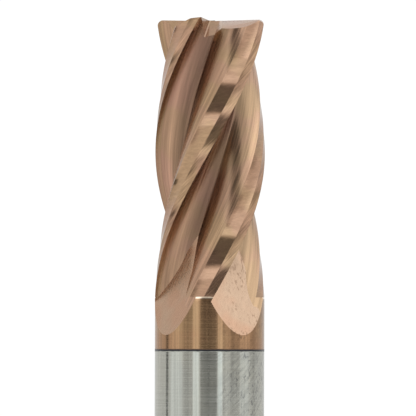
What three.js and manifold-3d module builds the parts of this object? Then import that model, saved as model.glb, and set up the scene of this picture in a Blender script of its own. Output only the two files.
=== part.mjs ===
// Four-flute solid-carbide end mill: right-hand helix, corner radius, coated cutting end.
// Units are millimetres.  The shank's end face stands on z = 0 and the teeth point along +Z.
import * as THREE from 'three';
import * as BufferGeometryUtils from 'three/addons/utils/BufferGeometryUtils.js';
import Module from 'manifold-3d';

const wasm = await Module();
wasm.setup();

// ---- driving dimensions ------------------------------------------------------------------
const INCH = 25.4;
const DIAMETER = 0.5 * INCH;              // the cutting diameter and the shank's diameter
const RADIUS = DIAMETER / 2;
const OVERALL_LENGTH = 3 * INCH;
const CORNER_RADIUS = 0.03 * INCH;
const FLUTES = 4;
const HELIX_LEAD = 5.54 * DIAMETER;       // a 29.6 degree helix at the outside diameter
const CUT_LENGTH = 2.535 * DIAMETER;      // the relieved lands stop here, below the teeth
const RUNOUT_LENGTH = 2.88 * DIAMETER;    // the flutes leave the cylinder here
const COATED_LENGTH = 3.005 * DIAMETER;   // the coating stops here
const EDGE_BAND_WIDTH = 0.35;             // the dark line at the end of the coating
const SHANK_CHAMFER = 0.5;

// ---- cross-section: radii are fractions of RADIUS, angles run from the cutting edge --------
const FIRST_EDGE_ANGLE = degrees(-101.2); // edge 0 at the teeth's end, from +X towards +Y
const PRIMARY_LAND = { angle: degrees(-10.5), radius: 0.975 };
const HEEL = { angle: degrees(-27.4), radius: 0.912 };
const RAKE_HOOK = { angle: degrees(8), reach: 0.19 };
const CORE = { angle: degrees(27), radius: 0.55, turn: degrees(8), before: 0.18, after: 0.04 };
const REAR_WALL = { lean: degrees(33), reach: 0.35, beyond: 0.45, beyondLean: degrees(38) };

// ---- ground end teeth ---------------------------------------------------------------------
const DISH = degrees(1.2);
const END_RELIEF = { primary: degrees(7), width: 0.18 * RADIUS, secondary: degrees(22.5) };
const GASH = {
  angle: degrees(31),
  floor: 0.18 * RADIUS,
  wall: degrees(40),
  web: 0.05 * RADIUS,
  fillet: 0.02 * RADIUS,
};

// ---- flute run-out: a flat scoop that eases into the floor of each flute -------------------
const SCOOP_SLOPE = Math.tan(degrees(17.6));
const SCOOP_AHEAD = degrees(55.7);        // of the cutting edge, at the run-out's end
const EASE = { slope: 0.1, length: 7, rounding: 5.8 };  // above the ledge
const SHOULDER = { height: 0.14, depth: 0.065 };  // the broken edge on top of the neck

// ---- fineness -----------------------------------------------------------------------------
const ROUND_SEGMENTS = 96;
const CORNER_SEGMENTS = 5;
const CURVE_SEGMENTS = 8;
const LAND_SEGMENTS = 4;
const EASE_SEGMENTS = 6;
const SCOOP_SEGMENTS = 48;
const TWIST_STEP = degrees(4);

// ---- cutters ------------------------------------------------------------------------------
const SKIN = 0.02;                        // keeps a cutter's skin clear of a ground surface
const REACH = 1.4 * RADIUS;               // how far a cutter sticks out of the blank
const OVERRUN = 1;                        // how far a cutter passes an end

const TIP_Z = OVERALL_LENGTH;
const LEDGE_Z = TIP_Z - CUT_LENGTH;
const RUNOUT_Z = TIP_Z - RUNOUT_LENGTH;
const COATING_Z = TIP_Z - COATED_LENGTH;
const SHANK_TOP_Z = COATING_Z - EDGE_BAND_WIDTH;
const TOOTH_PITCH = (2 * Math.PI) / FLUTES;

function degrees(value) {
  return (value * Math.PI) / 180;
}

function polar(angle, radius) {
  return new THREE.Vector2(radius * Math.cos(angle), radius * Math.sin(angle));
}

// The angle of a cutting edge at a height: it climbs the helix anticlockwise seen from above.
function edgeAngle(tooth, z) {
  return FIRST_EDGE_ANGLE + tooth * TOOTH_PITCH + (2 * Math.PI * (z - TIP_Z)) / HELIX_LEAD;
}

// ---- solids and meshes --------------------------------------------------------------------
function toSolid(geometry) {
  const bare = geometry.clone();
  bare.deleteAttribute('normal');
  bare.deleteAttribute('uv');
  const merged = BufferGeometryUtils.mergeVertices(bare, 1e-5);
  return new wasm.Manifold(new wasm.Mesh({
    numProp: 3,
    vertProperties: new Float32Array(merged.attributes.position.array),
    triVerts: new Uint32Array(merged.index.array),
  }));
}

function toGeometry(solid) {
  const mesh = solid.getMesh();
  const geometry = new THREE.BufferGeometry();
  geometry.setAttribute('position', new THREE.BufferAttribute(mesh.vertProperties, 3));
  geometry.setIndex(new THREE.BufferAttribute(mesh.triVerts, 1));
  geometry.computeVertexNormals();
  return geometry;
}

// A prism between two heights, turned about the axis so that it follows the cutting edges.
function twistedPrism(outline, tooth, bottom, top) {
  const turn = (2 * Math.PI * (top - bottom)) / HELIX_LEAD;
  const steps = Math.ceil(turn / TWIST_STEP);
  const options = { depth: top - bottom, steps, bevelEnabled: false };
  const geometry = new THREE.ExtrudeGeometry(new THREE.Shape(outline), options);
  geometry.translate(0, 0, bottom);
  const position = geometry.attributes.position;
  const axis = new THREE.Vector3(0, 0, 1);
  const point = new THREE.Vector3();
  for (let i = 0; i < position.count; i += 1) {
    point.fromBufferAttribute(position, i);
    point.applyAxisAngle(axis, edgeAngle(tooth, point.z));
    position.setXYZ(i, point.x, point.y, point.z);
  }
  return toSolid(geometry);
}

function lathe(profile) {
  const geometry = new THREE.LatheGeometry(profile, ROUND_SEGMENTS);
  geometry.rotateX(Math.PI / 2);
  return geometry;
}

// ---- cross-sections -----------------------------------------------------------------------
// From the cutting edge down the rake face and round the core to the next tooth's heel.
function flutePoints() {
  const edge = polar(0, RADIUS);
  const core = polar(CORE.angle, CORE.radius * RADIUS);
  const coreTangent = polar(CORE.angle + CORE.turn + Math.PI / 2, RADIUS);
  const heel = polar(TOOTH_PITCH + HEEL.angle, HEEL.radius * RADIUS);
  const heelTangent = polar(REAR_WALL.lean + Math.PI / 2, RADIUS);
  const rake = new THREE.CubicBezierCurve(
    edge,
    edge.clone().sub(polar(RAKE_HOOK.angle, RAKE_HOOK.reach * RADIUS)),
    core.clone().addScaledVector(coreTangent, -CORE.before),
    core,
  );
  const rearWall = new THREE.CubicBezierCurve(
    core,
    core.clone().addScaledVector(coreTangent, CORE.after),
    heel.clone().addScaledVector(heelTangent, -REAR_WALL.reach),
    heel,
  );
  return [...rake.getPoints(CURVE_SEGMENTS), ...rearWall.getPoints(CURVE_SEGMENTS).slice(1)];
}

// All the lands and flutes, inside the blank.
function flutedOutline() {
  const outline = [];
  for (let tooth = 0; tooth < FLUTES; tooth += 1) {
    const turn = tooth * TOOTH_PITCH;
    outline.push(polar(turn + PRIMARY_LAND.angle, PRIMARY_LAND.radius * RADIUS));
    for (const point of flutePoints()) {
      outline.push(point.rotateAround(new THREE.Vector2(), turn));
    }
  }
  return outline;
}

// The lands alone, joined by bulging arcs over the flutes, and a skin smaller than they are.
function landOutline() {
  const outline = [];
  const inner = RADIUS - SKIN;
  for (let tooth = 0; tooth < FLUTES; tooth += 1) {
    const turn = tooth * TOOTH_PITCH;
    outline.push(polar(turn + HEEL.angle, HEEL.radius * inner));
    outline.push(polar(turn + PRIMARY_LAND.angle, PRIMARY_LAND.radius * inner));
    for (let i = 0; i < LAND_SEGMENTS; i += 1) {
      const share = i / LAND_SEGMENTS;
      const radius = 1 + share * (HEEL.radius - 1);
      outline.push(polar(turn + share * (TOOTH_PITCH + HEEL.angle), radius * inner));
    }
  }
  return outline;
}

// One flute as a cutter, its rear wall run on past the heel until it is outside the blank.
function fluteCutterOutline() {
  const wall = flutePoints();
  const heel = wall[wall.length - 1];
  const past = polar(REAR_WALL.beyondLean + Math.PI / 2, REAR_WALL.beyond * RADIUS);
  return [
    ...wall,
    heel.clone().add(past),
    polar(TOOTH_PITCH / 2, REACH),
    polar(RAKE_HOOK.angle / 2, REACH),
  ];
}

// ---- cutters ------------------------------------------------------------------------------
// Half the width of the core that the scoops leave, at a height.  The sides pass through the
// blank's skin at the run-out's end, run straight up to the ledge, then grow steeper.
function scoopCoreHalf(z) {
  const straight = RADIUS - (Math.min(z, LEDGE_Z) - RUNOUT_Z) * SCOOP_SLOPE;
  const share = Math.min(Math.max((z - LEDGE_Z) / EASE.length, 0), 1);
  const eased = SCOOP_SLOPE * share + ((EASE.slope - SCOOP_SLOPE) * share ** 2) / 2;
  const past = Math.max(z - LEDGE_Z - EASE.length, 0);
  return straight - eased * EASE.length - past * SCOOP_SLOPE;
}

// The radius of a square with rounded corners, at an angle from the middle of one side.
function roundedSquare(angle, half, fillet) {
  const turned = angle + TOOTH_PITCH / 2;
  const aside = Math.abs(turned - TOOTH_PITCH * Math.floor(turned / TOOTH_PITCH) - TOOTH_PITCH / 2);
  const middle = half - fillet;
  if (Math.tan(aside) * half <= middle) {
    return half / Math.cos(aside);
  }
  const along = middle * (Math.cos(aside) + Math.sin(aside));
  return along + Math.sqrt(Math.max(along ** 2 - 2 * middle ** 2 + fillet ** 2, 0));
}

// What the scoops leave standing: square at the ledge, round where it meets the flutes.
function scoopCore() {
  const heights = [RUNOUT_Z - DIAMETER];
  for (let i = 0; i <= EASE_SEGMENTS; i += 1) {
    heights.push(LEDGE_Z + (i / EASE_SEGMENTS) * EASE.length);
  }
  heights.push(LEDGE_Z + 2 * EASE.length);
  const profile = heights.map((z) => new THREE.Vector2(1, z));
  profile.unshift(new THREE.Vector2(0, heights[0]));
  profile.push(new THREE.Vector2(0, heights[heights.length - 1]));
  const geometry = new THREE.LatheGeometry(profile, SCOOP_SEGMENTS);
  geometry.rotateX(Math.PI / 2);
  const position = geometry.attributes.position;
  for (let i = 0; i < position.count; i += 1) {
    const [x, y, z] = [position.getX(i), position.getY(i), position.getZ(i)];
    const half = scoopCoreHalf(z);
    const share = Math.min(Math.max((z - LEDGE_Z) / EASE.rounding, 0), 1);
    const radius = Math.hypot(x, y) * roundedSquare(Math.atan2(y, x), half, half * share);
    const place = polar(Math.atan2(y, x), radius);
    position.setXY(i, place.x, place.y);
  }
  geometry.rotateZ(edgeAngle(0, RUNOUT_Z) + SCOOP_AHEAD);
  return toSolid(geometry);
}

// The relief behind one end tooth.  It starts inside the gash, which is deeper there.
function endReliefCutter(tooth) {
  const slope = Math.tan(END_RELIEF.primary);
  const narrow = END_RELIEF.width * slope;
  const wide = narrow + (REACH - END_RELIEF.width) * Math.tan(END_RELIEF.secondary);
  const ahead = GASH.floor / 4;
  const profile = new THREE.Shape([
    new THREE.Vector2(ahead, ahead * slope),
    new THREE.Vector2(ahead, OVERRUN),
    new THREE.Vector2(-REACH, OVERRUN),
    new THREE.Vector2(-REACH, -wide),
    new THREE.Vector2(-END_RELIEF.width, -narrow),
  ]);
  const geometry = new THREE.ExtrudeGeometry(profile, { depth: REACH, bevelEnabled: false });
  placeOnTooth(geometry, tooth, -DISH, GASH.floor / 2);
  return toSolid(geometry);
}

// The notch ahead of one end tooth: a flat floor that falls outwards, then a sloping wall.
function gashCutter(tooth) {
  const rise = REACH;
  const profile = new THREE.Shape([
    new THREE.Vector2(0, GASH.fillet),
    new THREE.Vector2(GASH.fillet, 0),
    new THREE.Vector2(GASH.floor, 0),
    new THREE.Vector2(GASH.floor + rise / Math.tan(GASH.wall), rise),
    new THREE.Vector2(0, rise),
  ]);
  const geometry = new THREE.ExtrudeGeometry(profile, { depth: 2 * REACH, bevelEnabled: false });
  placeOnTooth(geometry, tooth, GASH.angle, GASH.web);
  return toSolid(geometry);
}

// Takes a prism drawn in x and y, and extruded along z, to one end tooth: x points ahead of the
// tooth, y up and z out along it, tilted about the place on the dished end where it starts.
function placeOnTooth(geometry, tooth, tilt, start) {
  geometry.rotateZ(Math.PI / 2);
  geometry.rotateY(Math.PI / 2);
  geometry.rotateY(tilt);
  geometry.translate(start, 0, TIP_Z - (RADIUS - start) * Math.tan(DISH));
  geometry.rotateZ(edgeAngle(tooth, TIP_Z));
}

// ---- sub-parts ----------------------------------------------------------------------------
function headBlank() {
  const outer = RADIUS + SKIN;
  const profile = [new THREE.Vector2(0, LEDGE_Z), new THREE.Vector2(outer, LEDGE_Z)];
  for (let i = 0; i <= CORNER_SEGMENTS; i += 1) {
    const corner = polar((i / CORNER_SEGMENTS) * (Math.PI / 2), CORNER_RADIUS);
    profile.push(corner.add(new THREE.Vector2(outer - CORNER_RADIUS, TIP_Z - CORNER_RADIUS)));
  }
  profile.push(new THREE.Vector2(0, TIP_Z - RADIUS * Math.tan(DISH) + SKIN));
  return toSolid(lathe(profile));
}

// The length of cut: lands with two reliefs, flutes, end teeth and the tops of the scoops.
function cuttingHead() {
  const fluted = twistedPrism(flutedOutline(), 0, LEDGE_Z, TIP_Z + OVERRUN);
  const lands = twistedPrism(landOutline(), 0, LEDGE_Z, LEDGE_Z + DIAMETER);
  let head = fluted.add(scoopCore().intersect(lands)).intersect(headBlank());
  for (let tooth = 0; tooth < FLUTES; tooth += 1) {
    head = head.subtract(endReliefCutter(tooth)).subtract(gashCutter(tooth));
  }
  return toGeometry(head);
}

// The full-diameter length that the flutes run out into.
function runoutNeck() {
  const profile = [
    new THREE.Vector2(0, COATING_Z),
    new THREE.Vector2(RADIUS, COATING_Z),
    new THREE.Vector2(RADIUS, LEDGE_Z - SHOULDER.height),
    new THREE.Vector2(RADIUS - SHOULDER.depth, LEDGE_Z),
    new THREE.Vector2(0, LEDGE_Z),
  ];
  const core = scoopCore();
  let neck = toSolid(lathe(profile));
  for (let tooth = 0; tooth < FLUTES; tooth += 1) {
    const flute = twistedPrism(fluteCutterOutline(), tooth, COATING_Z, LEDGE_Z + OVERRUN);
    neck = neck.subtract(flute.subtract(core));
  }
  return toGeometry(neck);
}

function coatingEdgeBand() {
  return lathe([
    new THREE.Vector2(0, SHANK_TOP_Z),
    new THREE.Vector2(RADIUS, SHANK_TOP_Z),
    new THREE.Vector2(RADIUS, COATING_Z),
    new THREE.Vector2(0, COATING_Z),
  ]);
}

function shank() {
  return lathe([
    new THREE.Vector2(0, 0),
    new THREE.Vector2(RADIUS - SHANK_CHAMFER, 0),
    new THREE.Vector2(RADIUS, SHANK_CHAMFER),
    new THREE.Vector2(RADIUS, SHANK_TOP_Z),
    new THREE.Vector2(0, SHANK_TOP_Z),
  ]);
}

// ---- materials and the assembled tool -----------------------------------------------------
const coating = { color: 0xb08a68, roughness: 0.28, metalness: 1 };
const coatingEdge = { color: 0x3c3e45, roughness: 0.5, metalness: 0.8 };
const carbide = { color: 0xa6a7a6, roughness: 0.32, metalness: 1 };

function namedMesh(name, geometry, look) {
  const mesh = new THREE.Mesh(geometry, new THREE.MeshStandardMaterial(look));
  mesh.name = name;
  return mesh;
}

const endMill = new THREE.Group();
endMill.add(
  namedMesh('cutting_head', cuttingHead(), coating),
  namedMesh('runout_neck', runoutNeck(), coating),
  namedMesh('coating_edge_band', coatingEdgeBand(), coatingEdge),
  namedMesh('shank', shank(), carbide),
);

export default endMill;
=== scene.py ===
"""The looks of a four-flute, coated, solid-carbide end mill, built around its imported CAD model.

Lengths are worked out in millimetres and turned into metres as each mesh is made.  Angles in the
cross-section run from a cutting edge, anticlockwise seen from the teeth's end.
"""
import math

import bpy
import numpy as np
from mathutils import Matrix, Vector


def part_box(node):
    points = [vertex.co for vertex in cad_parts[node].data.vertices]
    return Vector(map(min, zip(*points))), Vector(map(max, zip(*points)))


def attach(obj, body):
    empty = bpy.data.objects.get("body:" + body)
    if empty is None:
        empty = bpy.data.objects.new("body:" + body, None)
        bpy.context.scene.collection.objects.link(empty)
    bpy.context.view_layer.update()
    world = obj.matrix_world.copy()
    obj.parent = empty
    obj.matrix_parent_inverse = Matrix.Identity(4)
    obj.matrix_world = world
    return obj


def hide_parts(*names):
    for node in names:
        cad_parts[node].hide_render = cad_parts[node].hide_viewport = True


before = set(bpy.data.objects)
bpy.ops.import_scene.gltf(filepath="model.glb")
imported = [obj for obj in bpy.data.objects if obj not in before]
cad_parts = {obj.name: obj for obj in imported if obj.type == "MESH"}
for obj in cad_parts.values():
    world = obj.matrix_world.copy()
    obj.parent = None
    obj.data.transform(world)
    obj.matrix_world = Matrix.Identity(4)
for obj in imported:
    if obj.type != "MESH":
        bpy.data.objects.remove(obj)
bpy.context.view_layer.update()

MM = 0.001
BODY = "root"


def cad(node, corner, axis):
    """One coordinate of a CAD node's box, in millimetres."""
    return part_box(node)[corner][axis] / MM


# ---- sizes, from the CAD frame -----------------------------------------------------------------
LOW, HIGH = 0, 1
X, Z = 0, 2
RADIUS = cad("shank", HIGH, X)
DIAMETER = 2 * RADIUS
BAND_BOTTOM = cad("coating_edge_band", LOW, Z)
COATING_Z = cad("runout_neck", LOW, Z)
LEDGE_Z = cad("cutting_head", LOW, Z)
TIP_Z = 6 * DIAMETER
CORNER_RADIUS = 0.06 * DIAMETER
LEAD = 5.54 * DIAMETER
RUNOUT_Z = TIP_Z - 2.88 * DIAMETER
SHANK_CHAMFER = 0.5
FLUTES = 4
PITCH = 2 * math.pi / FLUTES

# ---- cross-section: radii are fractions of RADIUS ----------------------------------------------
FIRST_EDGE = math.radians(-101.2)
LAND_ANGLE, LAND_RADIUS = math.radians(-10.5), 0.975
HEEL_ANGLE, HEEL_RADIUS = math.radians(-27.4), 0.912
HOOK, HOOK_REACH = math.radians(8), 0.19
CORE_ANGLE, CORE_RADIUS = math.radians(27), 0.55
CORE_BEFORE, CORE_AFTER = 0.18, 0.04
CORE_TURN = math.radians(8)
WALL_LEAN, WALL_REACH = math.radians(33), 0.35
BEYOND_LEAN, BEYOND = math.radians(38), 0.45

# ---- end teeth ---------------------------------------------------------------------------------
DISH = math.radians(1.2)
RELIEF_1, RELIEF_WIDTH, RELIEF_2 = math.radians(7), 0.18 * RADIUS, math.radians(22.5)
GASH_ANGLE, GASH_FLOOR, GASH_WALL = math.radians(31), 0.18 * RADIUS, math.radians(40)
GASH_WEB, GASH_FILLET = 0.05 * RADIUS, 0.02 * RADIUS

# ---- run-out: flat scoops, easing into the floor of each flute ---------------------------------
SCOOP_SLOPE, SCOOP_AHEAD = math.tan(math.radians(17.6)), math.radians(55.7)
EASED_SLOPE, EASE_LENGTH, ROUND_LENGTH = 0.10, 7.0, 5.8
SHOULDER_HEIGHT, SHOULDER_DEPTH = 0.14, 0.065

REACH = 1.4 * RADIUS
OVERRUN = 1.0
SKIN = 0.02

CURVE_STEPS = 28
LAND_STEPS = 5
EASE_STEPS = 14
SCOOP_SIDES = 96
TWIST_STEP = math.radians(0.8)
ROUND_STEPS = 256
CORNER_STEPS = 12
NECK_RINGS = 12
SHARP_ANGLE = math.radians(28)


def polar(angle, radius):
    return np.array([radius * math.cos(angle), radius * math.sin(angle)])


def edge_angle(z):
    return FIRST_EDGE + 2 * math.pi * (z - TIP_Z) / LEAD


# ---- mesh helpers ------------------------------------------------------------------------------
def mesh_object(name, vertices, faces, material):
    """A mesh of one material, from vertices in millimetres."""
    mesh = bpy.data.meshes.new(name)
    mesh.from_pydata([tuple(v) for v in vertices], [], faces)
    mesh.materials.append(material)
    mesh.validate()
    item = bpy.data.objects.new(name, mesh)
    bpy.context.scene.collection.objects.link(item)
    return item


def boolean(target, cutter, operation):
    """Applies one boolean and removes the cutter; every face keeps its own material."""
    modifier = target.modifiers.new("cut", "BOOLEAN")
    modifier.object = cutter
    modifier.operation = operation
    modifier.solver = "MANIFOLD"
    modifier.material_mode = "TRANSFER"
    depsgraph = bpy.context.evaluated_depsgraph_get()
    result = bpy.data.meshes.new_from_object(target.evaluated_get(depsgraph))
    target.modifiers.clear()
    target.data = result
    bpy.data.objects.remove(cutter)
    return target


def prism(name, outline, sections, material_at):
    """Joins copies of a closed outline: each section turns the outline's points into vertices."""
    count = len(outline)
    vertices = [section(point) for section in sections for point in outline]
    faces = []
    slots = []
    for s in range(len(sections) - 1):
        for i in range(count):
            j = (i + 1) % count
            faces.append((s * count + i, s * count + j, (s + 1) * count + j, (s + 1) * count + i))
            slots.append(material_at(i))
    last = (len(sections) - 1) * count
    faces.append(tuple(reversed(range(count))))
    faces.append(tuple(last + i for i in range(count)))
    slots += [material_at(0)] * 2
    materials = list(dict.fromkeys(slots))
    item = mesh_object(name, vertices, faces, materials[0])
    for material in materials[1:]:
        item.data.materials.append(material)
    item.data.polygons.foreach_set("material_index", [materials.index(m) for m in slots])
    return item


def twisted(name, outline, bottom, top, material_at, turn=0.0):
    """Pulls an outline up from one height to another, turning with the helix."""
    steps = max(2, math.ceil(2 * math.pi * (top - bottom) / LEAD / TWIST_STEP))

    def section(z):
        angle = edge_angle(z) + turn
        c, s = math.cos(angle), math.sin(angle)
        return lambda p: (p[0] * c - p[1] * s, p[0] * s + p[1] * c, z)

    heights = np.linspace(bottom, top, steps + 1)
    return prism(name, outline, [section(z) for z in heights], material_at)


def lathe(name, profile, material):
    """Turns (radius, z) points, given upwards from the axis back to the axis, about Z."""
    inner = profile[1:-1]
    vertices = [(0, 0, profile[0][1]), (0, 0, profile[-1][1])]
    for k in range(ROUND_STEPS):
        angle = 2 * math.pi * k / ROUND_STEPS
        vertices += [(r * math.cos(angle), r * math.sin(angle), z) for r, z in inner]
    count = len(inner)
    faces = []
    for k in range(ROUND_STEPS):
        a = 2 + k * count
        b = 2 + ((k + 1) % ROUND_STEPS) * count
        faces.append((0, b, a))
        faces.append((1, a + count - 1, b + count - 1))
        faces += [(a + i, b + i, b + i + 1, a + i + 1) for i in range(count - 1)]
    return mesh_object(name, vertices, faces, material)


def solid_from(name, outline, depth, place, material):
    """An untwisted prism: the outline is drawn in x and y, pulled along z, then placed."""
    sections = [
        lambda p: tuple(place @ Vector((p[0], p[1], 0))),
        lambda p: tuple(place @ Vector((p[0], p[1], depth))),
    ]
    return prism(name, outline, sections, lambda i: material)


# ---- cross-sections ----------------------------------------------------------------------------
def bezier(a, b, c, d, steps):
    t = np.linspace(0, 1, steps + 1)[:, None]
    return (1 - t) ** 3 * a + 3 * (1 - t) ** 2 * t * b + 3 * (1 - t) * t ** 2 * c + t ** 3 * d


def line(a, b, steps):
    t = np.linspace(0, 1, steps + 1)[:, None]
    return (1 - t) * a + t * b


def flute_points():
    """From the cutting edge down the rake face, round the core and up to the next heel."""
    edge = polar(0, 1)
    core = polar(CORE_ANGLE, CORE_RADIUS)
    along = polar(CORE_ANGLE + CORE_TURN + math.pi / 2, 1)
    heel = polar(PITCH + HEEL_ANGLE, HEEL_RADIUS)
    heel_along = polar(WALL_LEAN + math.pi / 2, 1)
    hook = polar(HOOK, HOOK_REACH)
    lean = WALL_REACH * heel_along
    rake = bezier(edge, edge - hook, core - CORE_BEFORE * along, core, CURVE_STEPS)
    wall = bezier(core, core + CORE_AFTER * along, heel - lean, heel, CURVE_STEPS)
    return RADIUS * np.vstack([rake, wall[1:]])


def turned(points, angle):
    c, s = math.cos(angle), math.sin(angle)
    return points @ np.array([[c, s], [-s, c]])


def fluted_outline(materials):
    """The whole cross-section, and the material of each of its sides."""
    heel = RADIUS * polar(HEEL_ANGLE, HEEL_RADIUS)
    land = RADIUS * polar(LAND_ANGLE, LAND_RADIUS)
    edge = RADIUS * polar(0, 1)
    parts = [
        (line(heel, land, LAND_STEPS)[:-1], materials["second"]),
        (line(land, edge, LAND_STEPS)[:-1], materials["first"]),
        (flute_points()[:-1], materials["flute"]),
    ]
    points, sides = [], []
    for tooth in range(FLUTES):
        for part, material in parts:
            points.append(turned(part, tooth * PITCH))
            sides += [material] * len(part)
    return np.vstack(points), sides


def land_outline():
    """The lands, joined by bulging arcs over the flutes, a skin smaller than they are."""
    points = [polar(HEEL_ANGLE, HEEL_RADIUS), polar(LAND_ANGLE, LAND_RADIUS)]
    for share in np.linspace(0, 1, LAND_STEPS)[:-1]:
        angle = share * (PITCH + HEEL_ANGLE)
        points.append(polar(angle, 1 + share * (HEEL_RADIUS - 1)))
    tooth_points = (RADIUS - SKIN) * np.array(points)
    return np.vstack([turned(tooth_points, tooth * PITCH) for tooth in range(FLUTES)])


def flute_cutter_outline():
    """One flute as a solid, open past the shank; clockwise in the drawing, so turned round."""
    wall = flute_points()
    past = polar(BEYOND_LEAN + math.pi / 2, BEYOND * RADIUS)
    extra = [wall[-1] + past, polar(PITCH / 2, REACH), polar(HOOK / 2, REACH)]
    return np.vstack([wall, extra])[::-1]


# ---- cutters -----------------------------------------------------------------------------------
def rounded_square(angle, half, fillet):
    """The radius of a square with rounded corners, at an angle from the middle of one side."""
    aside = abs((angle + PITCH / 2) % PITCH - PITCH / 2)
    if math.tan(aside) * half <= half - fillet:
        return half / math.cos(aside)
    middle = half - fillet
    along = middle * (math.cos(aside) + math.sin(aside))
    return along + math.sqrt(max(along ** 2 - 2 * middle ** 2 + fillet ** 2, 0.0))


def scoop_half(z):
    """Half the width of what the scoops leave: straight up to the ledge, then easing in."""
    share = min(max((z - LEDGE_Z) / EASE_LENGTH, 0), 1)
    eased = SCOOP_SLOPE * share + (EASED_SLOPE - SCOOP_SLOPE) * share ** 2 / 2
    past = max(z - LEDGE_Z - EASE_LENGTH, 0)
    straight = RADIUS - (min(z, LEDGE_Z) - RUNOUT_Z) * SCOOP_SLOPE
    return straight - eased * EASE_LENGTH - past * SCOOP_SLOPE


def scoop_core(material):
    """What the scoops leave standing: square at the ledge, round where it meets the flutes."""
    start = edge_angle(RUNOUT_Z) + SCOOP_AHEAD
    angles = [2 * math.pi * k / SCOOP_SIDES for k in range(SCOOP_SIDES)]
    eased = np.linspace(LEDGE_Z, LEDGE_Z + EASE_LENGTH, EASE_STEPS + 1)
    heights = [RUNOUT_Z - DIAMETER, *eased, LEDGE_Z + 2 * EASE_LENGTH]

    def section(z):
        half = scoop_half(z)
        fillet = half * min(max((z - LEDGE_Z) / ROUND_LENGTH, 0), 1)

        def place(angle):
            radius = rounded_square(angle, half, fillet)
            return (*polar(start + angle, radius), z)

        return place

    return prism("scoop_core", angles, [section(z) for z in heights], lambda i: material)


LAY_ALONG_TOOTH = Matrix.Rotation(math.pi / 2, 4, "Y") @ Matrix.Rotation(math.pi / 2, 4, "Z")


def tooth_place(tooth, tilt, start):
    """Where a cutter for one end tooth goes: drawn ahead and up, pulled out along the tooth."""
    height = TIP_Z - (RADIUS - start) * math.tan(DISH)
    turn = Matrix.Rotation(edge_angle(TIP_Z) + tooth * PITCH, 4, "Z")
    lift = Matrix.Translation((start, 0, height))
    return turn @ lift @ Matrix.Rotation(tilt, 4, "Y") @ LAY_ALONG_TOOTH


def end_relief_cutter(tooth, material):
    slope = math.tan(RELIEF_1)
    narrow = RELIEF_WIDTH * slope
    wide = narrow + (REACH - RELIEF_WIDTH) * math.tan(RELIEF_2)
    ahead = GASH_FLOOR / 4
    outline = [
        (ahead, ahead * slope),
        (ahead, OVERRUN),
        (-REACH, OVERRUN),
        (-REACH, -wide),
        (-RELIEF_WIDTH, -narrow),
    ]
    return solid_from("relief", outline, REACH, tooth_place(tooth, -DISH, GASH_FLOOR / 2), material)


def gash_cutter(tooth, material):
    run = REACH / math.tan(GASH_WALL)
    outline = [
        (0, GASH_FILLET),
        (GASH_FILLET, 0),
        (GASH_FLOOR, 0),
        (GASH_FLOOR + run, REACH),
        (0, REACH),
    ]
    place = tooth_place(tooth, GASH_ANGLE, GASH_WEB)
    return solid_from("gash", outline, 2 * REACH, place, material)


# ---- the coated end ----------------------------------------------------------------------------
def head_blank(material):
    """The round envelope of the teeth, with the corner radius and the dished end."""
    outer = RADIUS + SKIN
    profile = [(0, LEDGE_Z), (outer, LEDGE_Z)]
    for i in range(CORNER_STEPS + 1):
        x, z = polar(i / CORNER_STEPS * math.pi / 2, CORNER_RADIUS)
        profile.append((outer - CORNER_RADIUS + x, TIP_Z - CORNER_RADIUS + z))
    profile.append((0, TIP_Z - RADIUS * math.tan(DISH) + SKIN))
    return lathe("blank", profile, material)


def cutting_head(materials):
    outline, sides = fluted_outline(materials)
    head = twisted("cutting_head_ground", outline, LEDGE_Z, TIP_Z + OVERRUN, lambda i: sides[i])
    scoop = materials["scoop"]
    lands = twisted("lands", land_outline(), LEDGE_Z, LEDGE_Z + DIAMETER, lambda i: scoop)
    boolean(head, boolean(scoop_core(scoop), lands, "INTERSECT"), "UNION")
    boolean(head, head_blank(materials["first"]), "INTERSECT")
    for tooth in range(FLUTES):
        boolean(head, end_relief_cutter(tooth, materials["relief"]), "DIFFERENCE")
        boolean(head, gash_cutter(tooth, materials["gash"]), "DIFFERENCE")
    return head


def runout_neck(materials):
    profile = [(0, COATING_Z)]
    profile += [(RADIUS, z) for z in np.linspace(COATING_Z, LEDGE_Z - SHOULDER_HEIGHT, NECK_RINGS)]
    profile += [(RADIUS - SHOULDER_DEPTH, LEDGE_Z), (0, LEDGE_Z)]
    neck = lathe("runout_neck_ground", profile, materials["neck"])
    outline = flute_cutter_outline()
    top = LEDGE_Z + OVERRUN
    ground = materials["flute"]
    for tooth in range(FLUTES):
        flute = twisted("flute", outline, COATING_Z, top, lambda i: ground, tooth * PITCH)
        boolean(flute, scoop_core(materials["scoop"]), "DIFFERENCE")
        boolean(neck, flute, "DIFFERENCE")
    return neck


def finish_piece(item, slot, *nodes):
    """Metres, crisp edges between ground surfaces, and its place in the frame."""
    mesh = item.data
    mesh.transform(Matrix.Scale(MM, 4))
    slots = np.zeros(len(mesh.polygons), int)
    mesh.polygons.foreach_get("material_index", slots)
    mesh.polygons.foreach_set("use_smooth", [True] * len(mesh.polygons))
    mesh.set_sharp_from_angle(angle=SHARP_ANGLE)
    mark_surface_borders(mesh, slots)
    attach(item, BODY)
    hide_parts(*nodes)


def mark_surface_borders(mesh, slots):
    """Marks the edges between two differently ground surfaces as sharp."""
    faces_of = {}
    for polygon in mesh.polygons:
        for key in polygon.edge_keys:
            faces_of.setdefault(key, []).append(polygon.index)
    for edge in mesh.edges:
        owners = faces_of.get(edge.key, ())
        if len({slots[i] for i in owners}) > 1:
            edge.use_edge_sharp = True


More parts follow.
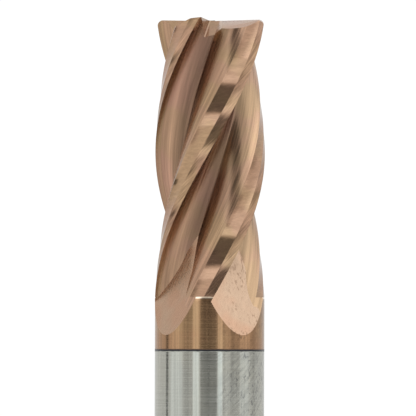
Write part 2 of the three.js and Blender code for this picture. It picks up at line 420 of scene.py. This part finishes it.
# ---- shader helpers ----------------------------------------------------------------------------
class Nodes:
    """A short way to write a node tree: each method adds a node and gives back its output."""

    def __init__(self, tree):
        self.tree = tree
        tree.nodes.clear()

    def add(self, kind, sockets, **settings):
        node = self.tree.nodes.new("ShaderNode" + kind)
        for key, value in settings.items():
            setattr(node, key, value)
        for socket, value in sockets.items():
            if isinstance(value, bpy.types.NodeSocket):
                self.tree.links.new(value, node.inputs[socket])
            else:
                node.inputs[socket].default_value = value
        return node

    def math(self, operation, a, b=0.0):
        return self.add("Math", {0: a, 1: b}, operation=operation).outputs[0]

    def times(self, a, b):
        return self.math("MULTIPLY", a, b)

    def stretch(self, vector, x, y, z):
        return self.add("VectorMath", {0: vector, 1: (x, y, z)}, operation="MULTIPLY").outputs[0]

    def noise(self, vector, scale, detail=2.0):
        return self.add("TexNoise", {"Vector": vector, "Scale": scale, "Detail": detail}).outputs[0]

    def ramp(self, value, low, high, out_low=0.0, out_high=1.0):
        sockets = {0: value, 1: low, 2: high, 3: out_low, 4: out_high}
        return self.add("MapRange", sockets, interpolation_type="SMOOTHSTEP").outputs[0]

    def blend(self, factor, a, b, kind="MIX"):
        node = self.add("Mix", {0: factor, 6: a, 7: b}, data_type="RGBA", blend_type=kind)
        return node.outputs[2]

    def shade(self, color, factor):
        """A colour made darker or lighter by a number round one."""
        grey = self.add("CombineColor", {0: factor, 1: factor, 2: factor}).outputs[0]
        return self.blend(1.0, color, grey, "MULTIPLY")

    def coordinate(self, place, axis):
        return self.add("SeparateXYZ", {0: place}).outputs[axis]

    def mix(self, factor, a, b):
        return self.add("Mix", {0: factor, 2: a, 3: b}).outputs[0]

    def ahead_of_edge(self, place):
        """The angle, in radians, from the cutting edge behind a place."""
        x, y, _ = self.add("SeparateXYZ", {0: self.untwist(place, LEAD)}).outputs
        edge = FIRST_EDGE - 2 * math.pi * TIP_Z / LEAD
        angle = self.math("SUBTRACT", self.math("ARCTAN2", y, x), edge)
        return self.math("FLOORED_MODULO", angle, PITCH)

    def radius(self, place):
        """How far a place is from the axis, in millimetres."""
        flat = self.stretch(place, 1, 1, 0)
        return self.add("VectorMath", {0: flat}, operation="LENGTH").outputs["Value"]

    def position(self):
        """The place on the part, in millimetres."""
        place = self.add("TexCoord", {}).outputs["Object"]
        return self.stretch(place, 1 / MM, 1 / MM, 1 / MM)

    def untwist(self, place, lead):
        """The same place turned back about the axis, so that this lead's helix stands upright."""
        angle = self.times(self.coordinate(place, Z), -2 * math.pi / lead)
        sockets = {"Vector": place, "Angle": angle}
        return self.add("VectorRotate", sockets, rotation_type="Z_AXIS").outputs[0]

    def metal(self, color, roughness, height, depth, along=None):
        """A metal with a relief of depth millimetres, and a gloss brushed along a direction."""
        relief = {"Strength": 1.0, "Distance": depth * MM, "Height": height}
        bump = self.add("Bump", relief).outputs[0]
        sockets = {"Base Color": color, "Metallic": 1.0, "Roughness": roughness, "Normal": bump}
        if along is not None:
            sockets |= {
                "Tangent": along,
                "Anisotropic": BRUSHED,
                "Anisotropic Rotation": QUARTER_TURN,
            }
        shader = self.add("BsdfPrincipled", sockets).outputs[0]
        self.add("OutputMaterial", {"Surface": shader})

    def helix_direction(self, place):
        """The way a helix of this tool's lead runs through a place."""
        x, y, _ = self.add("SeparateXYZ", {0: place}).outputs
        turn = 2 * math.pi / LEAD
        sockets = {0: self.times(y, -turn), 1: self.times(x, turn), 2: 1.0}
        return self.add("CombineXYZ", sockets).outputs[0]


def new_material(name):
    material = bpy.data.materials.new(name)
    material.use_nodes = True
    return material, Nodes(material.node_tree)


# ---- surfaces ----------------------------------------------------------------------------------
TAN = (0.438, 0.276, 0.160, 1)
NECK_TAN = (0.425, 0.260, 0.138, 1)
NECK_PINK = (0.420, 0.240, 0.130, 1)
PINK = (0.450, 0.265, 0.170, 1)
SAND = (0.445, 0.292, 0.195, 1)
UMBER = (0.20, 0.115, 0.07, 1)
# The colour of the painted highlight on the neck's shoulder chamfer.
SHOULDER_PAINTED_HIGHLIGHT = (0.95, 0.76, 0.58, 1)
CARBIDE = (0.50, 0.49, 0.425, 1)
CARBIDE_WARM = (0.48, 0.475, 0.42, 1)
CARBIDE_DARK = (0.16, 0.16, 0.155, 1)
SMOKE = (0.045, 0.045, 0.048, 1)

# How far each lay's noise is squeezed along x, y and z of the turned-back place.
HELIX_LAY = (1, 1, 0.03)
ACROSS_LAY = (0.25, 0.25, 1.1)
SLANTED_LAY = (1.2, 1.2, 0.15)
RIPPLE_LAY = (1, 1, 0.3)
ROUND_LAY = (0.12, 0.12, 9.0)
DRAWN_LAY = (3.2, 3.2, 0.05)
DIAGONAL_LEAD = 2 * math.pi * RADIUS

# Where a noise's values lie, from wide to narrow, and how far it moves the roughness.
WIDE, MIDDLE, NARROW = (0.3, 0.7), (0.35, 0.65), (0.4, 0.6)
SMOOTHEST, ROUGHEST = 0.8, 1.3
BRUSHED, QUARTER_TURN = 0.75, 0.25
RING_TONE = (0.975, 1.025)
RIPPLE_DARKNESS, SPECK_DARKNESS = 0.25, 0.6
CYLINDER_GRAIN = 0.0012
# Heights, in millimetres, where the painted highlight on the neck's shoulder chamfer fades in.
SHOULDER_HIGHLIGHT_BAND = (LEDGE_Z - SHOULDER_HEIGHT - 0.12, LEDGE_Z - SHOULDER_HEIGHT)

# Painted light in the flutes: painted shade at the root and along the cutting edge with a painted
# highlight between them on the rake, and painted shade down the rear wall towards the root; each
# from one radius to another, from one brightness to another.
ROOT_PAINTED_SHADE_AND_HIGHLIGHT = (0.56 * RADIUS, 0.77 * RADIUS, 0.52, 1.16)
EDGE_PAINTED_SHADE = (0.80 * RADIUS, 0.97 * RADIUS, 1.0, 0.60)
WALL_PAINTED_SHADE = (0.58 * RADIUS, 0.92 * RADIUS, 0.50, 1.0)
WALL_STARTS = (math.radians(24), math.radians(32))
# Heights over which the painted shade and highlight in the flutes fade out towards the ledge.
PAINTED_LIGHT_FADE = (LEDGE_Z + 1, LEDGE_Z + 9)
# A painted rosy reflection tint, multiplied into the rake's colour.
ROSY_PAINTED_REFLECTION = (1.03, 0.985, 1.06, 1)


def coated(name, lay, streaks, roughness, depth, tone=TAN, speckled=False):
    """Coated carbide: lay makes the grinding lines run their way, over a depth in millimetres."""
    material, nodes = new_material("coat_" + name)
    place = nodes.position()
    lines = lay(nodes, place)
    broad = nodes.noise(lines, 1.6, 1.0)
    fine = nodes.noise(lines, 6.0, 4.0)
    cloud = nodes.noise(place, 0.22, 2.0)
    color = nodes.blend(nodes.ramp(cloud, *NARROW), tone, PINK)
    color = nodes.shade(color, nodes.ramp(broad, *WIDE, 1 - streaks, 1 + 0.5 * streaks))
    color = nodes.shade(color, nodes.ramp(fine, *WIDE, 1 - streaks, 1 + streaks))
    rough = nodes.ramp(fine, *WIDE, SMOOTHEST * roughness, ROUGHEST * roughness)
    if speckled:
        color = nodes.blend(specks(nodes, place), color, UMBER)
    # The flutes get painted shade, a painted highlight and a painted reflection tint, by radius,
    # side and height.
    if name == "flute":
        color = flute_painted_light(nodes, place, color)
    along = nodes.helix_direction(place) if lay is helical else None
    nodes.metal(color, rough, fine, depth, along)
    return material


def flute_painted_light(nodes, place, color):
    """Painted light in the flutes: a painted rosy reflection tint and a painted highlight part-way
    up the rake, and painted shade at the root, along the cutting edge and down the rear wall.
    """
    radius = nodes.radius(place)
    wall = nodes.ramp(nodes.ahead_of_edge(place), *WALL_STARTS)
    # Rake: painted shade at the root and at the cutting edge, a painted highlight between; rear
    # wall: painted shade towards the root.
    rake_painted_light = nodes.times(nodes.ramp(radius, *ROOT_PAINTED_SHADE_AND_HIGHLIGHT), nodes.ramp(radius, *EDGE_PAINTED_SHADE))
    tone = nodes.mix(wall, rake_painted_light, nodes.ramp(radius, *WALL_PAINTED_SHADE))
    # The rake gets the painted rosy reflection tint; the rear wall keeps its colour.
    color = nodes.blend(wall, nodes.blend(1.0, color, ROSY_PAINTED_REFLECTION, "MULTIPLY"), color)
    fade = nodes.ramp(nodes.coordinate(place, Z), *PAINTED_LIGHT_FADE)
    return nodes.shade(color, nodes.mix(fade, 1.0, tone))


def helical(nodes, place):
    return nodes.stretch(nodes.untwist(place, LEAD), *HELIX_LAY)


def across_land(nodes, place):
    return nodes.stretch(nodes.untwist(place, LEAD), *ACROSS_LAY)


def slanted(nodes, place):
    return nodes.stretch(nodes.untwist(place, DIAGONAL_LEAD), *SLANTED_LAY)


def specks(nodes, place):
    """Small dark pits, gathered on the side that was handled, towards +X."""
    side = nodes.ramp(nodes.coordinate(place, X), 0.1 * RADIUS, 0.6 * RADIUS)
    spot = nodes.ramp(nodes.noise(nodes.stretch(place, 1, 1, 0.6), 3.4, 1.0), 0.56, 0.66)
    patch = nodes.ramp(nodes.noise(place, 0.45, 1.0), 0.35, 0.55)
    return nodes.times(nodes.times(spot, patch), nodes.times(side, SPECK_DARKNESS))


def mottled(nodes, place):
    """Slanting ripples left by grinding, strongest towards +X."""
    side = nodes.ramp(nodes.coordinate(place, X), -0.1 * RADIUS, 0.5 * RADIUS, 0.15, 1.0)
    slant = nodes.stretch(nodes.untwist(place, DIAGONAL_LEAD), *RIPPLE_LAY)
    ripple = nodes.ramp(nodes.noise(slant, 2.6, 3.0), *MIDDLE)
    return nodes.times(side, ripple)


def cylinder_metal(name, light, dark, roughness, tint, streaks):
    """A centreless-ground cylinder: fine rings, slanting ripples, a few dark marks and a painted
    highlight on the run-out neck's shoulder chamfer.
    """
    material, nodes = new_material(name)
    place = nodes.position()
    rings = nodes.noise(nodes.stretch(place, *ROUND_LAY), 1.0, 4.0)
    drawn = nodes.noise(nodes.stretch(place, *DRAWN_LAY), 1.0, 3.0)
    ripple = mottled(nodes, place)
    color = nodes.blend(nodes.ramp(nodes.noise(place, 0.3, 2.0), *MIDDLE), light, tint)
    color = nodes.shade(color, nodes.ramp(rings, *WIDE, *RING_TONE))
    color = nodes.shade(color, nodes.ramp(drawn, *MIDDLE, 1 - streaks, 1 + 0.6 * streaks))
    color = nodes.blend(nodes.times(ripple, RIPPLE_DARKNESS), color, dark)
    color = nodes.blend(specks(nodes, place), color, dark)
    # A painted highlight on the shoulder chamfer at the top of the neck, fading in from below.
    painted_highlight = nodes.ramp(nodes.coordinate(place, Z), *SHOULDER_HIGHLIGHT_BAND)
    color = nodes.blend(painted_highlight, color, SHOULDER_PAINTED_HIGHLIGHT)
    rough = nodes.ramp(rings, *WIDE, SMOOTHEST * roughness, ROUGHEST * roughness)
    height = nodes.math("ADD", nodes.times(rings, 0.5), nodes.times(ripple, 0.5))
    nodes.metal(color, rough, height, CYLINDER_GRAIN)
    return material


def coating_edge():
    """Where the coating stops: a smoky, slightly uneven line that fades into both neighbours."""
    material, nodes = new_material("coating_edge_smoke")
    place = nodes.position()
    waver = 0.12
    wave = nodes.times(nodes.noise(place, 1.3, 3.0), waver)
    above = nodes.math("SUBTRACT", nodes.coordinate(place, Z), BAND_BOTTOM + waver / 2)
    up = nodes.math("ADD", above, wave)
    height = COATING_Z - BAND_BOTTOM
    below = nodes.blend(nodes.ramp(up, 0.05 * height, 0.3 * height), CARBIDE, SMOKE)
    color = nodes.blend(nodes.ramp(up, 0.6 * height, height), below, UMBER)
    nodes.metal(color, 0.35, nodes.noise(place, 6.0), 0.001)
    return material


# Each ground surface: how its lines run, their contrast, the roughness and the depth in mm.
coat = {
    "flute": coated("flute", helical, 0.16, 0.21, 0.0020),
    "first": coated("first", slanted, 0.2, 0.17, 0.0022),
    "second": coated("second", across_land, 0.07, 0.10, 0.0006),
    "scoop": coated("scoop", helical, 0.03, 0.28, 0.0001, SAND, speckled=True),
    "relief": coated("relief", slanted, 0.04, 0.2, 0.0006),
    "gash": coated("gash", slanted, 0.05, 0.2, 0.0006),
    "neck": cylinder_metal("coat_neck", NECK_TAN, UMBER, 0.13, NECK_PINK, 0.15),
}
carbide = cylinder_metal("carbide", CARBIDE, CARBIDE_DARK, 0.11, CARBIDE_WARM, 0.08)
edge_dark = coating_edge()

# ---- pieces ------------------------------------------------------------------------------------
head = cutting_head(coat)
neck = runout_neck(coat)
band_profile = [(0, BAND_BOTTOM), (RADIUS, BAND_BOTTOM), (RADIUS, COATING_Z), (0, COATING_Z)]
band = lathe("coating_edge_line", band_profile, edge_dark)
shank_profile = [
    (0, 0),
    (RADIUS - SHANK_CHAMFER, 0),
    (RADIUS, SHANK_CHAMFER),
    (RADIUS, BAND_BOTTOM),
    (0, BAND_BOTTOM),
]
shank = lathe("shank_ground", shank_profile, carbide)
finish_piece(head, "coating", "cutting_head")
finish_piece(neck, "coating", "runout_neck")
finish_piece(band, "coating_edge", "coating_edge_band")
finish_piece(shank, "ground_carbide", "shank")

# ---- floor -------------------------------------------------------------------------------------
FLOOR_RADIUS = 1500
FLOOR_WHITE = (0.84, 0.84, 0.83, 1)
FLOOR_TONE = (0.985, 1.0)


def floor():
    """A pale round floor under the tool."""
    angles = [2 * math.pi * k / ROUND_STEPS for k in range(ROUND_STEPS)]
    rim = [(*polar(angle, FLOOR_RADIUS * MM), 0) for angle in angles]
    material, nodes = new_material("floor")
    grain = nodes.noise(nodes.position(), 0.02, 3.0)
    color = nodes.shade(FLOOR_WHITE, nodes.ramp(grain, *WIDE, *FLOOR_TONE))
    shader = nodes.add("BsdfPrincipled", {"Base Color": color, "Roughness": 0.7}).outputs[0]
    nodes.add("OutputMaterial", {"Surface": shader})
    mesh_object("floor", rim, [tuple(range(ROUND_STEPS))], material)


floor()

# ---- studio ------------------------------------------------------------------------------------
# Panels of light round the tool: azimuth from the camera towards +X and elevation, in degrees.
AMBIENT = 0.8
BACKDROP = 1.05
TOP, BOTTOM = 90, -90
WHITE, COOL = (1, 1, 1, 1), (1, 1.08, 1.14, 1)
COOL_FROM = (0.7, 1.4)      # the brightness where the light starts to turn cool, and where it is
PANELS = (
    # azimuth from, to, elevation from, to, brightness, edge softness
    (-180, 180, 9, TOP, 1.0, 8),
    (-180, 180, 50, TOP, 0.8, 14),
    (48, 118, 18, 70, 1.75, 8),
    (-104, -97, -45, 8, 0.15, 2),
    (-90, -59, BOTTOM, 9, 1.05, 3),
    (-55, -43, BOTTOM, 9, 0.5, 4),
    (-42, -36, BOTTOM, 9, 0.6, 3),
    (-35, -22, BOTTOM, 9, 1.2, 3),
    (-35, -22, 9, 60, 1.45, 3),
    (-19, 16, BOTTOM, 40, 0.24, 5),
    (-6, 1, BOTTOM, 9, 0.16, 4),
    (17.5, 27, BOTTOM, 60, 1.35, 2),
    (28, 46, 9, 60, 1.25, 5),
    (28, 33, BOTTOM, 9, 0.65, 2),
    (44, 66, BOTTOM, 9, 0.58, 3),
    (68, 90, BOTTOM, 9, 1.0, 4),
    (96, 112, BOTTOM, 9, 0.66, 4),
)


def build_world():
    world = bpy.data.worlds.new("studio")
    bpy.context.scene.world = world
    world.use_nodes = True
    nodes = Nodes(world.node_tree)

    def window(value, start, end, soft):
        rise = nodes.ramp(value, start - soft / 2, start + soft / 2)
        fall = nodes.ramp(value, end - soft / 2, end + soft / 2, 1.0, 0.0)
        return nodes.times(rise, fall)

    direction = nodes.add("TexCoord", {}).outputs["Generated"]
    split = nodes.add("SeparateXYZ", {0: direction}).outputs
    azimuth = nodes.math("DEGREES", nodes.math("ARCTAN2", split[0], nodes.times(split[1], -1.0)))
    elevation = nodes.math("DEGREES", nodes.math("ARCSINE", split[2]))
    light = AMBIENT
    for start, end, low, high, level, soft in PANELS:
        inside = window(elevation, low, high, soft)
        if end - start < 360:
            inside = nodes.times(inside, window(azimuth, start, end, soft))
        light = nodes.mix(inside, light, level)
    tint = nodes.blend(nodes.ramp(light, *COOL_FROM), WHITE, COOL)
    panels = nodes.add("Background", {"Color": tint, "Strength": light}).outputs[0]
    backdrop = nodes.add("Background", {"Color": WHITE, "Strength": BACKDROP}).outputs[0]
    seen = nodes.add("LightPath", {}).outputs["Is Camera Ray"]
    choose = nodes.add("MixShader", {0: seen, 1: panels, 2: backdrop}).outputs[0]
    nodes.add("OutputWorld", {"Surface": choose})


build_world()
bpy.context.scene.view_settings.view_transform = "Standard"

# ---- camera ------------------------------------------------------------------------------------
VIEW_WIDTH = 48.2           # how much of the tool's plane the picture takes in
DISTANCE = 640
SENSOR = 36
CLIP = (0.05, 10)           # metres
EYE_Z = 37.9
AIM = Vector((-0.23, 0, 54.36))
ROLL = math.radians(0.18)


def make_camera():
    data = bpy.data.cameras.new("camera")
    data.sensor_width = SENSOR
    data.lens = data.sensor_width * DISTANCE / VIEW_WIDTH
    data.clip_start, data.clip_end = CLIP
    item = bpy.data.objects.new("camera", data)
    bpy.context.scene.collection.objects.link(item)
    place = Vector((AIM.x, -DISTANCE, EYE_Z))
    turn = (AIM - place).to_track_quat("-Z", "Y").to_matrix().to_4x4()
    item.matrix_world = Matrix.Translation(place * MM) @ turn @ Matrix.Rotation(ROLL, 4, "Z")
    bpy.context.scene.camera = item


make_camera()
